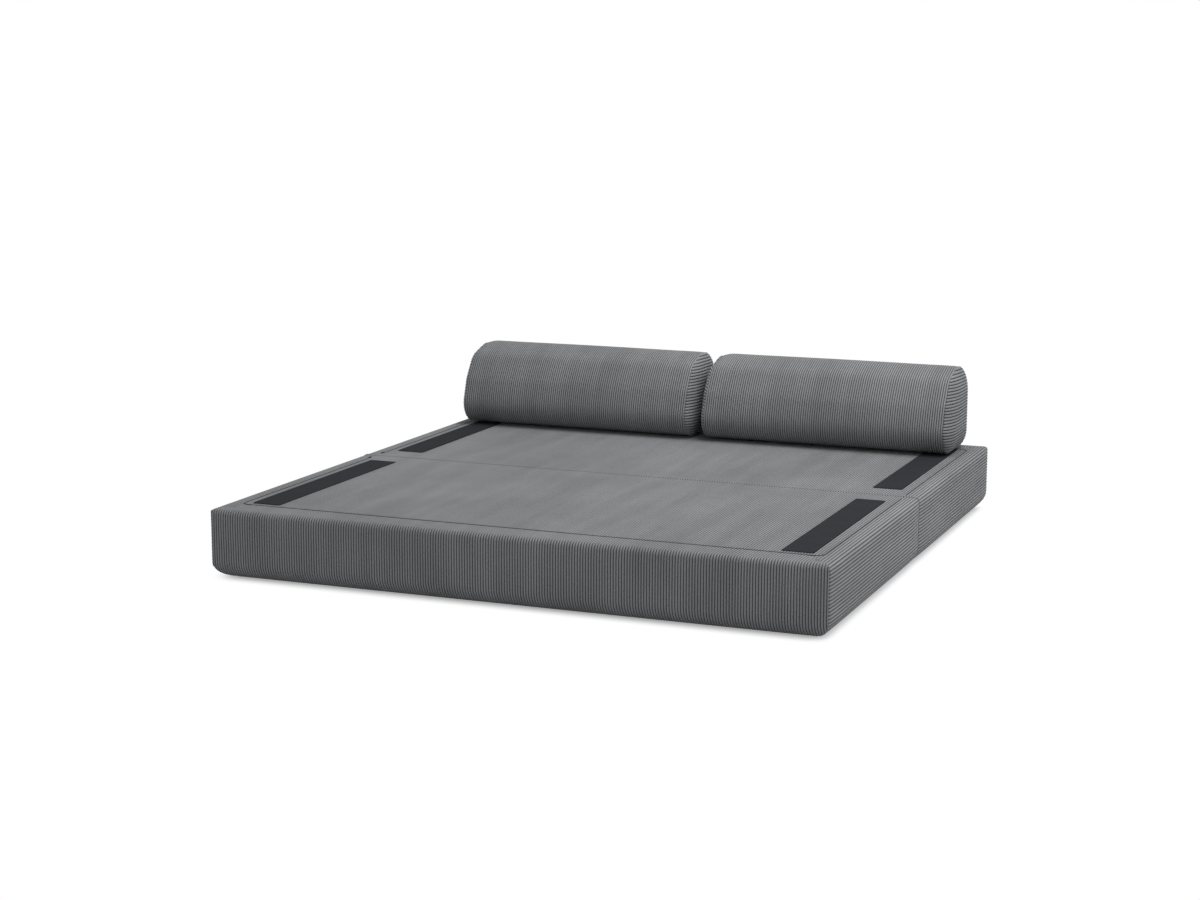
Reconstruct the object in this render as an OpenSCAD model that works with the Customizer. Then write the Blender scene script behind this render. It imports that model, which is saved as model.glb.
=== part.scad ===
// Flip-out foam sofa bed, lying open: two covered foam slabs joined by a sewn fold line,
// and two loose bolsters on the rear slab. Millimetres, +Z up, front at -Y, and the origin
// on the floor under the middle of the fold line.

/* [Slabs] */
// Width of the bed from side to side
base_w = 1900; // [1400:10:2200]
// Depth of one slab, from the fold line to its outer end
slab_d = 960; // [840:10:1100]
// Thickness of one slab
slab_h = 213; // [160:5:260]
// Radius of the top edge at the sides and the outer end
top_edge_r = 18; // [10:1:30]
// Radius of the top edge and the upright corners at the fold line
fold_edge_r = 4; // [3.6:0.2:8]
// Radius of the underside edges at the sides and the outer end
under_edge_r = 58; // [30:1:60]
// Radius of the underside edge at the fold line
fold_under_r = 8; // [5:1:20]
// Radius of the upright corners at the outer end, seen from above
corner_r = 10; // [6:1:16]

/* [Cover] */
// Thickness of the corduroy with its wadding
cover_t = 3; // [2:0.5:3]
// Slack between a cover and the foam in it
cover_ease = 0.3; // [0.1:0.1:0.5]
// Distance from the sides and the outer end to the seams of the underside panel
under_inset = 64; // [61:1:90]
// Distance from the fold line to the seam of the underside panel
under_fold_inset = 24; // [21:1:60]

/* [Panel zip] */
// Distance of the zip from the left and right edges
zip_side_inset = 50; // [40:1:70]
// Distance of the zip from the outer end
zip_end_inset = 100; // [60:1:140]
// Radius of the zip's turn at the outer corners
zip_turn_r = 26; // [15:1:40]
// Distance from the fold line at which the zip ends
zip_stop = 30; // [25:1:60]
// Width of the slot between the covers where a zip lies
slot_w = 7; // [6.6:0.1:9]
// Width of the zip's tape
tape_w = 20; // [14:1:26]
// Thickness of the zip's tape
tape_t = 0.8; // [0.6:0.1:1]
// Width of the closed coil
coil_w = 2.4; // [2:0.1:2.8]
// Height of the closed coil
coil_h = 1.5; // [1.2:0.1:1.6]

/* [Zip slider] */
// Length of the slider's body
slider_l = 10; // [8:0.5:12]
// Width of the slider's body
slider_w = 6; // [5.4:0.1:6.2]
// Thickness of its top plate
slider_plate_t = 0.9; // [0.7:0.1:1.1]
// Length of its thumb tab
tab_l = 17; // [12:1:24]

/* [Grip strips] */
// Width of a strip
strip_w = 92; // [50:1:110]
// Length of a strip
strip_l = 750; // [500:10:800]
// Thickness of a strip, which stands on the panel
strip_t = 1.2; // [0.8:0.1:2]
// Distance from the slab's side to the strip
strip_side_inset = 81; // [76:1:120]
// Distance from the fold line to the strip
strip_fold_inset = 95; // [50:1:100]
// Radius of a strip's corners
strip_corner_r = 4; // [1:1:12]

/* [Bolsters] */
// Distance from the slab's side to the end of the bolster next to it, if both lie centred
bolster_side_inset = 53; // [40:1:140]
// How far to the left of that the bolsters lie
bolster_shift = 14.5; // [0:0.5:30]
// Depth of a bolster from front to back
bolster_d = 290; // [260:5:320]
// Height of a bolster
bolster_h = 285; // [260:5:320]
// Gap between the two bolsters
bolster_gap = 22; // [10:1:60]
// Distance from the rear slab's outer end to the bolsters' backs
bolster_back_inset = 16; // [10:1:60]
// Radius of the belly, low at the front
belly_r = 75; // [60:1:85]
// Radius of the chest, which fills out the leaning front
chest_r = 92.5; // [85:0.5:95]
// Distance from the front to the chest's centre
chest_in = 110; // [105:1:120]
// Height of the chest's centre
chest_up = 125; // [115:1:130]
// Radius of the shoulder, where the leaning front turns over
shoulder_r = 88; // [70:1:95]
// Distance from the front to the shoulder's centre
shoulder_in = 140; // [125:1:150]
// Distance from the crown down to the shoulder's centre
shoulder_down = 107; // [100:1:120]
// Radius of the crown, high at the back
crown_r = 92; // [75:1:105]
// Radius of the heel, low at the back
heel_r = 56; // [50:1:70]
// How far the end caps bulge past their seams
cap_bulge = 24; // [12:1:28]
// Distance from a cap's seam to the end of the bolster's zip
bolster_zip_end = 67.5; // [30:2.5:120]
// Angle of the bolster's zip round the heel, from straight back down
bolster_zip_angle = 35; // [25:1:60]

/* [Clearances] */
// Gap between soft pieces that rest on each other or slide past
rest_gap = 0.3; // [0.2:0.1:0.6]
// Gap between the grip strips of the two slabs when it is folded
fold_gap = 0.6; // [0.4:0.1:1.2]

/* [Hidden] */
$fn = 96;

SOFT_FN = 32;
FAR = 3000;
OVER = 1;
EPS = 0.01;

CORD = [0.45, 0.46, 0.47];
CORD_SIDE = [0.36, 0.37, 0.39];
FOAM = [0.86, 0.84, 0.76];
CHARCOAL = [0.17, 0.18, 0.20];
ZINC = [0.12, 0.12, 0.13];

// The fold axis lies level with the middle of the gap between the folded strips
fold_z = slab_h + strip_t + fold_gap / 2;
lining_z = slab_h - cover_t;
inner_band_top = slab_h - fold_edge_r - cover_t;

// The welt is a round bead on the fold axis with a flange that is sewn to the rear panel
welt_r = fold_z - slab_h - rest_gap;
welt_flange_t = strip_t;
welt_flange_l = 9;

// Room round a zip's tape in the foam
rebate_room = 1;

// A zip slider, from the tape up
slider_clear = 0.3;
slider_roof_z = coil_h + slider_clear;
slider_skirt_z = slider_clear;
slider_skirt_t = (slider_w - coil_w) / 2 - slider_clear;
tab_w = slider_w - 2;
tab_t = 0.8;
tab_hole_r = 0.9;
post_h = 0.4;
post_w = 1.6;
tab_z = slider_roof_z + slider_plate_t + post_h;
zip_run_start = zip_stop + slider_l;

// The two bolsters and the gap between them fill the width between the side insets
bolster_l = base_w / 2 - bolster_side_inset - bolster_gap / 2;
bolster_tube_l = bolster_l - 2 * cap_bulge;
bolster_x = (bolster_l + bolster_gap) / 2;
bolster_front_y = slab_d - bolster_back_inset - bolster_d;
bolster_z = slab_h + strip_t + rest_gap;
bolster_zip_l = bolster_tube_l - 2 * bolster_zip_end;
// The flat tape bridges the round inside of the heel, so it sits inside that by its own sag
heel_tape_r = sqrt(pow(heel_r - cover_t, 2) - pow(tape_w / 2, 2)) - rest_gap;

// One end cap, as shares of its bulge outwards against the inset of the outline there
CAP_STEPS = [[0, 0], [0.38, 1.5], [0.66, 6], [0.85, 15], [0.95, 32], [1, 60]];
// Radius that is left of the heel in the outline of the cap's flat middle
cap_flat_r = 2;

// Slab forms. They are drawn for the front slab, which lies from y = -slab_d to y = 0

// A round-cornered outline from [0, 0] to [l, h], with a radius for each corner
module rounded_outline(l, h, top_near, top_far, low_near, low_far) {
    mid = l / 2;
    translate([top_near, h / 2]) square([l - top_near - top_far, h / 2]);
    translate([0, low_near]) square([mid, h - low_near - top_near]);
    translate([mid - OVER, low_far]) square([mid + OVER, h - low_far - top_far]);
    translate([low_near, 0]) square([l - low_near - low_far, h / 2 + OVER]);
    translate([top_near, h - top_near]) circle(top_near);
    translate([l - top_far, h - top_far]) circle(top_far);
    translate([low_near, low_near]) circle(low_near);
    translate([l - low_far, low_far]) circle(low_far);
}

module slab_form(inset) {
    w = base_w - 2 * inset;
    d = slab_d - 2 * inset;
    h = slab_h - 2 * inset;
    top_r = top_edge_r - inset;
    low_r = under_edge_r - inset;
    fold_r = max(fold_edge_r - inset, EPS);
    fold_low_r = fold_under_r - inset;
    intersection() {
        translate([-w / 2, -inset, inset]) rotate([90, 0, 0])
            linear_extrude(d) rounded_outline(w, h, top_r, top_r, low_r, low_r);
        translate([-w / 2, inset - slab_d, inset]) rotate([90, 0, 90])
            linear_extrude(w) rounded_outline(d, h, top_r, fold_r, low_r, fold_low_r);
        translate([-w / 2, inset - slab_d, inset])
            linear_extrude(h)
                rounded_outline(w, d, fold_r, fold_r, corner_r - inset, corner_r - inset);
    }
}

module cover_shell() {
    difference() {
        slab_form(0);
        slab_form(cover_t);
    }
}

// The line of the zip, as a plan that is open at the fold line; grow widens it
module zip_plan(grow) {
    half_w = base_w / 2 - zip_side_inset + grow;
    d = slab_d - zip_end_inset + grow;
    r = zip_turn_r + grow;
    translate([-half_w + r, -d]) square([2 * (half_w - r), d]);
    translate([-half_w, r - d]) square([2 * half_w, d - r]);
    for (x = [r - half_w, half_w - r]) translate([x, r - d]) circle(r);
}

// What the bands leave free: the panel's place, widened by half a slot where the zip runs
module lid_opening_plan() {
    zip_plan(0);
    intersection() {
        zip_plan(slot_w / 2);
        zipped_zone();
    }
}

module lid_plan() {
    difference() {
        zip_plan(0);
        difference() {
            zipped_zone();
            zip_plan(-slot_w / 2);
        }
    }
}

module zipped_zone() {
    translate([-FAR / 2, -slab_d]) square([FAR, slab_d - zip_stop]);
}

module underside_block() {
    translate([under_inset - base_w / 2, under_inset - slab_d, -OVER])
        cube([base_w - 2 * under_inset, slab_d - under_inset - under_fold_inset, cover_t + 2 * OVER]);
}

// An end of the slab's plan, up to a height. It is cut off by the mitres that part the bands,
// which run from the slab's corners towards those of the underside panel
module end_block(y_edge, y_way, y_inset, top) {
    half_w = base_w / 2;
    reach = slab_d / 2;
    y_mid = y_edge + y_way * reach * y_inset / under_inset;
    translate([0, 0, -OVER]) linear_extrude(top + OVER) polygon([
        [-half_w, y_edge], [half_w, y_edge], [half_w - reach, y_mid], [reach - half_w, y_mid]
    ]);
}

module outer_end() {
    end_block(-slab_d, 1, under_inset, slab_h + OVER);
}

module fold_end() {
    end_block(0, -1, under_fold_inset, inner_band_top);
}

module band_solid() {
    difference() {
        cover_shell();
        translate([0, 0, inner_band_top]) linear_extrude(slab_h) lid_opening_plan();
        underside_block();
    }
}

module outer_band() {
    color(CORD_SIDE) intersection() {
        band_solid();
        outer_end();
    }
}

module inner_band() {
    color(CORD_SIDE) intersection() {
        band_solid();
        fold_end();
    }
}

// side is -1 for the left band and 1 for the right
module side_band(side) {
    color(CORD_SIDE) difference() {
        intersection() {
            band_solid();
            translate([side > 0 ? 0 : -FAR, -slab_d - OVER, -OVER])
                cube([FAR, slab_d + 2 * OVER, slab_h + 2 * OVER]);
        }
        outer_end();
        fold_end();
    }
}

module top_panel() {
    color(CORD) intersection() {
        cover_shell();
        translate([0, 0, inner_band_top]) linear_extrude(slab_h) lid_plan();
    }
}

module underside_panel() {
    color(CORD) intersection() {
        cover_shell();
        underside_block();
    }
}

// The foam has a shallow rebate under the zip's tape
module foam_core() {
    color(FOAM) difference() {
        slab_form(cover_t + cover_ease);
        translate([0, 0, lining_z - tape_t - rest_gap]) linear_extrude(slab_h)
            zip_ribbon_plan(tape_w / 2 + rebate_room, zip_stop - rebate_room);
    }
}

module zip_ribbon_plan(half, stop) {
    intersection() {
        difference() {
            zip_plan(half);
            zip_plan(-half);
        }
        translate([-FAR / 2, -slab_d]) square([FAR, slab_d - stop]);
    }
}

module zip_tape() {
    color(CHARCOAL) {
        translate([0, 0, lining_z - tape_t]) linear_extrude(tape_t)
            zip_ribbon_plan(tape_w / 2, zip_stop);
        translate([0, 0, lining_z - EPS]) linear_extrude(coil_h + EPS)
            zip_ribbon_plan(coil_w / 2, zip_stop);
    }
}

module grip_strip(side) {
    x = side * (base_w / 2 - strip_side_inset - strip_w / 2);
    r = strip_corner_r;
    color(CHARCOAL) translate([x - strip_w / 2, -strip_fold_inset - strip_l, slab_h])
        linear_extrude(strip_t) rounded_outline(strip_w, strip_l, r, r, r, r);
}

// A moulded slider that runs along X on a coil whose tape's top face is at z = 0
module zip_slider() {
    nose_r = slider_w / 2;
    eye_r = tab_w / 2;
    color(ZINC) {
        difference() {
            translate([0, 0, slider_skirt_z])
                linear_extrude(slider_roof_z + slider_plate_t - slider_skirt_z) {
                    circle(nose_r);
                    translate([0, -nose_r]) square([slider_l - nose_r, slider_w]);
                }
            translate([-slider_l, slider_skirt_t - nose_r, -OVER])
                cube([3 * slider_l, slider_w - 2 * slider_skirt_t, slider_roof_z + OVER]);
        }
        translate([post_w / 2, -post_w / 2, slider_roof_z + slider_plate_t - EPS])
            cube([slider_l / 2, post_w, post_h + 2 * EPS]);
        translate([0, 0, tab_z]) linear_extrude(tab_t) {
            translate([0, -eye_r]) square([tab_l - eye_r, tab_w]);
            difference() {
                translate([tab_l - eye_r, 0]) circle(eye_r);
                translate([tab_l - eye_r, 0]) circle(tab_hole_r);
            }
        }
    }
}

// Parked at the closed end of the left run, with its tab towards the outer end
module panel_zip_slider() {
    translate([zip_side_inset - base_w / 2, -zip_run_start, lining_z]) rotate([0, 0, -90])
        zip_slider();
}

module fold_hinge_welt() {
    color(CORD_SIDE) translate([fold_edge_r - base_w / 2, 0, 0]) rotate([90, 0, 90])
        linear_extrude(base_w - 2 * fold_edge_r) {
            translate([0, fold_z]) circle(welt_r);
            translate([0, slab_h]) square([welt_flange_l, welt_flange_t]);
        }
}

// Bolster forms, with X along the bolster, y = 0 at its front and z = 0 at its base

module bolster_section(inset) {
    hull() {
        translate([belly_r, belly_r]) circle(belly_r - inset, $fn = SOFT_FN);
        translate([chest_in, chest_up]) circle(chest_r - inset, $fn = SOFT_FN);
        translate([shoulder_in, bolster_h - shoulder_down])
            circle(shoulder_r - inset, $fn = SOFT_FN);
        translate([bolster_d - crown_r, bolster_h - crown_r])
            circle(crown_r - inset, $fn = SOFT_FN);
        translate([bolster_d - heel_r, heel_r]) circle(heel_r - inset, $fn = SOFT_FN);
    }
}

module bolster_tube(inset, l) {
    translate([-l / 2, 0, 0]) rotate([90, 0, 90]) linear_extrude(l) bolster_section(inset);
}

// A dome on the seam plane x = 0 that bulges towards +X
module cap_slice(step, inset, bulge) {
    translate([max(step[0] * bulge - EPS, 0), 0, 0]) rotate([90, 0, 90])
        linear_extrude(EPS) bolster_section(inset + min(step[1], heel_r - inset - cap_flat_r));
}

module cap_dome(inset, bulge) {
    hull() for (step = CAP_STEPS) cap_slice(step, inset, bulge);
}

// way is 1 for the cap at the +X end and -1 for the other
module bolster_cap(way) {
    color(CORD_SIDE) mirror([way < 0 ? 1 : 0, 0, 0]) translate([bolster_tube_l / 2, 0, 0])
        difference() {
            cap_dome(0, cap_bulge);
            translate([-EPS, 0, 0]) cap_dome(cover_t, cap_bulge - cover_t + EPS);
        }
}

// Puts what is drawn with +Z up on the bolster's zip line, with +Z straight out of the heel
module at_heel(r) {
    translate([0, bolster_d - heel_r, heel_r]) rotate([-90 - bolster_zip_angle, 0, 0])
        translate([0, 0, r]) children();
}

module bolster_cover() {
    color(CORD) difference() {
        bolster_tube(0, bolster_tube_l);
        bolster_tube(cover_t, bolster_tube_l + 2 * OVER);
        at_heel(heel_r) translate([-bolster_zip_l / 2, -slot_w / 2, -2 * cover_t])
            cube([bolster_zip_l, slot_w, 3 * cover_t]);
    }
}

module bolster_foam() {
    inset = cover_t + cover_ease;
    color(FOAM) difference() {
        hull() for (way = [-1, 1], step = CAP_STEPS)
            mirror([way < 0 ? 1 : 0, 0, 0]) translate([bolster_tube_l / 2, 0, 0])
                cap_slice(step, inset, cap_bulge - inset);
        at_heel(heel_tape_r - tape_t - rest_gap)
            translate([-bolster_zip_l / 2 - rebate_room, -tape_w / 2 - rebate_room, 0])
                cube([bolster_zip_l + 2 * rebate_room, tape_w + 2 * rebate_room, heel_r]);
    }
}

module bolster_zip_tape() {
    color(CHARCOAL) at_heel(heel_tape_r - tape_t) {
        translate([-bolster_zip_l / 2, -tape_w / 2, 0]) cube([bolster_zip_l, tape_w, tape_t]);
        translate([-bolster_zip_l / 2, -coil_w / 2, tape_t - EPS])
            cube([bolster_zip_l, coil_w, coil_h + EPS]);
    }
}

module bolster_zip_slider() {
    at_heel(heel_tape_r) translate([slider_l - bolster_zip_l / 2, 0, 0]) zip_slider();
}

module at_rear() {
    mirror([0, 1, 0]) children();
}

module at_bolster(side) {
    translate([side * bolster_x - bolster_shift, bolster_front_y, bolster_z]) children();
}

at_rear() foam_core();  // rear_foam_core
at_rear() top_panel();  // rear_top_panel
at_rear() outer_band();  // rear_outer_band
at_rear() inner_band();  // rear_inner_band
at_rear() side_band(-1);  // rear_left_band
at_rear() side_band(1);  // rear_right_band
at_rear() underside_panel();  // rear_underside_panel
at_rear() grip_strip(-1);  // rear_left_grip_strip
at_rear() grip_strip(1);  // rear_right_grip_strip
at_rear() zip_tape();  // rear_zip_tape
at_rear() panel_zip_slider();  // rear_zip_slider
foam_core();  // front_foam_core
top_panel();  // front_top_panel
outer_band();  // front_outer_band
inner_band();  // front_inner_band
side_band(-1);  // front_left_band
side_band(1);  // front_right_band
underside_panel();  // front_underside_panel
grip_strip(-1);  // front_left_grip_strip
grip_strip(1);  // front_right_grip_strip
zip_tape();  // front_zip_tape
panel_zip_slider();  // front_zip_slider
fold_hinge_welt();
at_bolster(-1) bolster_foam();  // left_bolster_foam
at_bolster(-1) bolster_cover();  // left_bolster_cover
at_bolster(-1) bolster_cap(-1);  // left_bolster_outer_cap
at_bolster(-1) bolster_cap(1);  // left_bolster_inner_cap
at_bolster(-1) bolster_zip_tape();  // left_bolster_zip_tape
at_bolster(-1) bolster_zip_slider();  // left_bolster_zip_slider
at_bolster(1) bolster_foam();  // right_bolster_foam
at_bolster(1) bolster_cover();  // right_bolster_cover
at_bolster(1) bolster_cap(1);  // right_bolster_outer_cap
at_bolster(1) bolster_cap(-1);  // right_bolster_inner_cap
at_bolster(1) bolster_zip_tape();  // right_bolster_zip_tape
at_bolster(1) bolster_zip_slider();  // right_bolster_zip_slider
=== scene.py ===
import math

import bmesh
import bpy
import numpy as np
from mathutils import Matrix, Vector


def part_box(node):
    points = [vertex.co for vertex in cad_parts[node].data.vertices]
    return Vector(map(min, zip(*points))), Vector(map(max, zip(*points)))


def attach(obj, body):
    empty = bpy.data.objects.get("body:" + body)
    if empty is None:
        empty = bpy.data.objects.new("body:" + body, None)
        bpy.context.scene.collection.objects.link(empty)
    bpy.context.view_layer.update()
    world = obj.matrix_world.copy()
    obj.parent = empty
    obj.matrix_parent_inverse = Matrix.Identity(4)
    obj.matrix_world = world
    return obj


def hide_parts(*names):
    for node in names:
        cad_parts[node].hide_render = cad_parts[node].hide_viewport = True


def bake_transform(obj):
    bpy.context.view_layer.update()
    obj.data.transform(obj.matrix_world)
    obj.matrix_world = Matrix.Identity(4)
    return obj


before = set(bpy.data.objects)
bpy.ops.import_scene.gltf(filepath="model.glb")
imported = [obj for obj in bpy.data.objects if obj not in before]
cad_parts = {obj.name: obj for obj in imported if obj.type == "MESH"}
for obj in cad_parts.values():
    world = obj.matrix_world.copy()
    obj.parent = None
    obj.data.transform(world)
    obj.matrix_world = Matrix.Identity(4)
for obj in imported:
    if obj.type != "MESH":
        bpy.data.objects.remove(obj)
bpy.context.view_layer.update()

# The foam. Each slab and each bolster is one block of cut polyurethane foam with its cover drawn
# tight over it. It is pale, open-celled and soft, and the covers take their form from it.


class Wire:
    """An output of a node in a tree. Maths on it adds Math nodes to that tree."""

    def __init__(self, tree, socket=None):
        self.tree = tree
        self.socket = socket

    def node(self, kind, sockets=(), out=0, **settings):
        """Adds a node: its settings first, then the values or wires of its sockets."""
        made = self.tree.nodes.new(kind)
        for name, value in settings.items():
            setattr(made, name, value)
        for key, value in dict(sockets).items():
            if isinstance(value, Wire):
                self.tree.links.new(value.socket, made.inputs[key])
            else:
                made.inputs[key].default_value = value
        return Wire(self.tree, made.outputs[out]) if made.outputs else None

    def maths(self, operation, first, second=0.0):
        return self.node("ShaderNodeMath", {0: first, 1: second}, operation=operation)

    def __add__(self, other):
        return self.maths("ADD", self, other)

    __radd__ = __add__

    def __sub__(self, other):
        return self.maths("SUBTRACT", self, other)

    def __rsub__(self, other):
        return self.maths("SUBTRACT", other, self)

    def __mul__(self, other):
        return self.maths("MULTIPLY", self, other)

    __rmul__ = __mul__


def shade(red, green, blue):
    """A colour as it is seen, from 0 to 255, as the linear values that a shader takes."""
    return tuple(
        (part / 255 / 12.92) if part < 11 else ((part / 255 + 0.055) / 1.055) ** 2.4
        for part in (red, green, blue)
    )


def new_finish(name):
    """An empty material, a start for wires in its tree, and the place on the piece."""
    material = bpy.data.materials.new(name)
    material.use_nodes = True
    material.node_tree.nodes.clear()
    start = Wire(material.node_tree)
    return material, start, start.node("ShaderNodeTexCoord", out="Object")


def close_finish(start, sockets):
    """Ends a material with one shader, whose sockets take values or wires."""
    shader = start.node("ShaderNodeBsdfPrincipled", sockets, out="BSDF")
    start.node("ShaderNodeOutputMaterial", {"Surface": shader})


def mottled(start, light, dark, share):
    """A colour between two, by how far share lies from 0 to 1."""
    return start.node(
        "ShaderNodeMix", {"Factor": share, 6: (*dark, 1.0), 7: (*light, 1.0)}, out=2, data_type="RGBA"
    )


def noise(start, place, scale, detail=2.0, roughness=0.5):
    """Soft random values round 0.5."""
    sockets = {"Vector": place, "Scale": scale, "Detail": detail, "Roughness": roughness}
    return start.node("ShaderNodeTexNoise", sockets, out="Fac")


def cells(start, place, scale):
    """How far points lie from the nearest of many scattered ones."""
    return start.node("ShaderNodeTexVoronoi", {"Vector": place, "Scale": scale}, out="Distance")


def raised_by(start, height, strength, distance):
    """A normal that follows a fine relief in a surface."""
    return start.node(
        "ShaderNodeBump", {"Height": height, "Strength": strength, "Distance": distance}, out="Normal"
    )


def foam_finish():
    material, start, place = new_finish("open_cell_foam")
    pores = cells(start, place, 900.0)
    tone = noise(start, place, 6.0)
    color = mottled(start, shade(226, 220, 198), shade(204, 194, 166), tone * 0.5 + pores * 0.5)
    pits = raised_by(start, pores, 0.6, 0.0006)
    close_finish(start, {"Base Color": color, "Roughness": 0.95, "Normal": pits})
    return material


def add_object(name, data):
    """A new object in the scene, at the origin."""
    made = bpy.data.objects.new(name, data)
    bpy.context.scene.collection.objects.link(made)
    return made


def merged_copy(node, name):
    """A copy of a CAD piece as one closed mesh."""
    block = add_object(name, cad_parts[node].data.copy())
    whole = bmesh.new()
    whole.from_mesh(block.data)
    bmesh.ops.remove_doubles(whole, verts=whole.verts, dist=1e-5)
    whole.to_mesh(block.data)
    whole.free()
    return block


FOAM_GIVES = 0.007
LEFT_FALL = 0.010
RIGHT_FALL = 0.001
FALL_REACH = 0.045
FALL_FROM = 0.15


def fallen_end(x, z, half, height):
    """How far a bolster's ends fall at the crown, as foam does at a free corner, for points that lie
    at x from its middle and at z over its base."""
    high = np.clip((z - FALL_FROM) / (height - FALL_FROM), 0, 1) ** 2
    near = np.clip(1 - (half - np.abs(x)) / FALL_REACH, 0, 1) ** 2
    return np.where(x < 0, LEFT_FALL, RIGHT_FALL) * high * near


def let_ends_fall(block, low, high):
    """Gives a bolster's foam the fallen ends of its cover, which spans the box from low to high."""
    middle, half = (low.x + high.x) / 2, (high.x - low.x) / 2
    cut = bmesh.new()
    cut.from_mesh(block.data)
    for share in (0, 0.25, 0.5, 0.75, 1):
        for way in (-1, 1):
            plane = (middle + way * (half - FALL_REACH * share), 0, 0)
            parts = [*cut.verts, *cut.edges, *cut.faces]
            bmesh.ops.bisect_plane(cut, geom=parts, plane_co=plane, plane_no=(1, 0, 0), dist=1e-6)
    for vertex in cut.verts:
        vertex.co.z -= fallen_end(vertex.co.x - middle, vertex.co.z - low.z, half, high.z - low.z)
    cut.to_mesh(block.data)
    cut.free()


foam = foam_finish()
for node, body in (
    ("front_foam_core", "front_base"),
    ("rear_foam_core", "rear_base"),
    ("left_bolster_foam", "left_bolster"),
    ("right_bolster_foam", "right_bolster"),
):
    low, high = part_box(node)
    middle = (low + high) / 2
    shares = [1 - 2 * FOAM_GIVES / size for size in high - low]
    block = merged_copy(node, f"{node}_block")
    pressed = Matrix.Translation(middle) @ Matrix.Diagonal((*shares, 1.0)) @ Matrix.Translation(-middle)
    block.data.transform(pressed)
    if "bolster" in node:
        let_ends_fall(block, *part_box(f"{body}_cover"))
    block.data.materials.clear()
    block.data.materials.append(foam)
    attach(block, body)
    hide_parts(node)

# How the covers fill. A slab's and a bolster's foam is blown up a little as cloth that is held at
# the seams. That gives how full each cover is between its seams, and how it is drawn in at them.
SLAB_LOW, SLAB_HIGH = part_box("front_left_band")
HALF_W = -SLAB_LOW.x
DEPTH = -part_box("front_outer_band")[0].y
HEIGHT = SLAB_HIGH.z
UNDER_INSET = 0.064
UNDER_FOLD_INSET = -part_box("front_underside_panel")[1].y
ZIP_SIDE_INSET = 0.05
ZIP_END_INSET = 0.1
ZIP_TURN_R = 0.026


def rounded(across, up, half_across, half_up, radius):
    """How deep points lie in a round-cornered outline, 0 on it and less inside, and the way out."""
    past_across = np.abs(across) - half_across + radius
    past_up = np.abs(up) - half_up + radius
    corner = np.hypot(np.maximum(past_across, 0), np.maximum(past_up, 0))
    deep = np.minimum(np.maximum(past_across, past_up), 0) + corner - radius
    safe = np.maximum(corner, 1e-9)
    in_turn = corner > 1e-7
    flat = past_across >= past_up
    way_across = np.where(in_turn, np.maximum(past_across, 0) / safe, flat) * np.sign(across)
    way_up = np.where(in_turn, np.maximum(past_up, 0) / safe, ~flat) * np.sign(up)
    return deep, way_across, way_up


def zip_distance(x, y):
    """How far points lie outside the panel's zip line, and less than 0 inside it."""
    return rounded(x, y, HALF_W - ZIP_SIDE_INSET, DEPTH - ZIP_END_INSET, ZIP_TURN_R)[0]


def slab_seams(points):
    """How far points on a front slab are from its cover's nearest seam."""
    x, y, z = np.abs(points[:, 0]), points[:, 1], points[:, 2]
    side, end, fold = HALF_W - x, DEPTH + y, -y
    top = np.abs(zip_distance(x, y)) + np.where(z > HEIGHT / 2, 0, 1)
    low_side, low_end = np.abs(side - UNDER_INSET), np.abs(end - UNDER_INSET)
    low = np.minimum(low_side, low_end) + np.where(z < HEIGHT / 2, 0, 1)
    corner = np.minimum(np.hypot(side, end), np.hypot(side, fold))
    return np.minimum.reduce([top, low, corner, np.hypot(fold, np.minimum(z, HEIGHT - z))])


def blown_up(node, seam_distance, voxel, most, pressure, hold=0.012, frames=20):
    """A copy of a foam block, blown up as cloth. Each point keeps how far it rose, as a share of
    most, in the attribute puff. The copy stays at rest, and only lends that to the covers."""
    form = merged_copy(node, f"{node}_form")
    even = form.modifiers.new("even", "REMESH")
    even.mode = "VOXEL"
    even.voxel_size = voxel
    depsgraph = bpy.context.evaluated_depsgraph_get()
    form.data = bpy.data.meshes.new_from_object(form.evaluated_get(depsgraph))
    form.modifiers.remove(even)
    count = len(form.data.vertices)
    rest = np.empty(count * 3, np.float32)
    out = np.empty(count * 3, np.float32)
    form.data.vertices.foreach_get("co", rest)
    form.data.vertices.foreach_get("normal", out)
    rest, out = rest.reshape(-1, 3), out.reshape(-1, 3)
    held = form.vertex_groups.new(name="held")
    held.add(np.nonzero(seam_distance(rest) < hold)[0].tolist(), 1.0, "REPLACE")
    cloth = form.modifiers.new("cloth", "CLOTH")
    cloth.settings.use_pressure = True
    cloth.settings.uniform_pressure_force = pressure
    cloth.settings.tension_stiffness = 60.0
    cloth.settings.compression_stiffness = 60.0
    cloth.settings.bending_stiffness = 8.0
    cloth.settings.effector_weights.gravity = 0.0
    cloth.settings.vertex_group_mass = "held"
    cloth.point_cache.frame_start = 1
    cloth.point_cache.frame_end = frames
    for number in range(1, frames + 1):
        bpy.context.scene.frame_set(number)
    depsgraph = bpy.context.evaluated_depsgraph_get()
    moved = np.empty(count * 3, np.float32)
    form.evaluated_get(depsgraph).data.vertices.foreach_get("co", moved)
    rise = ((moved.reshape(-1, 3) - rest) * out).sum(1)
    form.modifiers.remove(cloth)
    bpy.context.scene.frame_set(1)
    puff = form.data.attributes.new("puff", "FLOAT", "POINT")
    puff.data.foreach_set("value", np.clip(rise / most, 0, 1).astype(np.float32))
    return form


slab_form = None
slab_form = blown_up("front_foam_core", slab_seams, voxel=0.014, most=0.004, pressure=1.0)

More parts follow.
